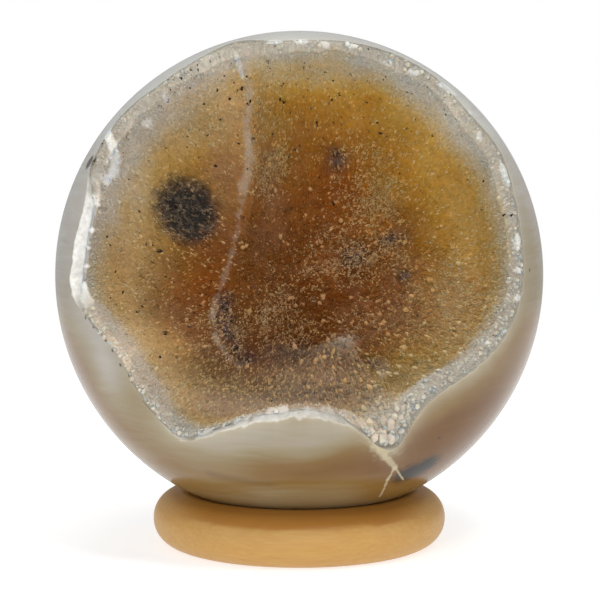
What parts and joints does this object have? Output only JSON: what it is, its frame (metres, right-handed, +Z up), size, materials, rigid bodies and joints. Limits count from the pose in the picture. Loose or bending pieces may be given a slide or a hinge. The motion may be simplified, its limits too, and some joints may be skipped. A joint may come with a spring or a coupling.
{
  "type": "agate geode sphere",
  "caption": "Polished banded agate ball with a tilted open hollow lined by a crust of small crystals, resting in a turned wooden ring.",
  "frame": {"origin": "middle of the whole object's footprint, on the table plane at the wooden ring's underside", "axes": "+Z up, the hollow faces -Y and leans up by twenty degrees, +X is to the right of someone looking into the hollow"},
  "size_m": [0.084, 0.0802, 0.0888],
  "materials": {
    "polished_agate": "gloss",
    "druzy_crystal": "satin",
    "turned_wood": "satin"
  },
  "bodies": {
    "root": {"agate_sphere": "polished_agate", "druzy_crust": "druzy_crystal", "wooden_ring": "turned_wood"}
  },
  "joints": []
}
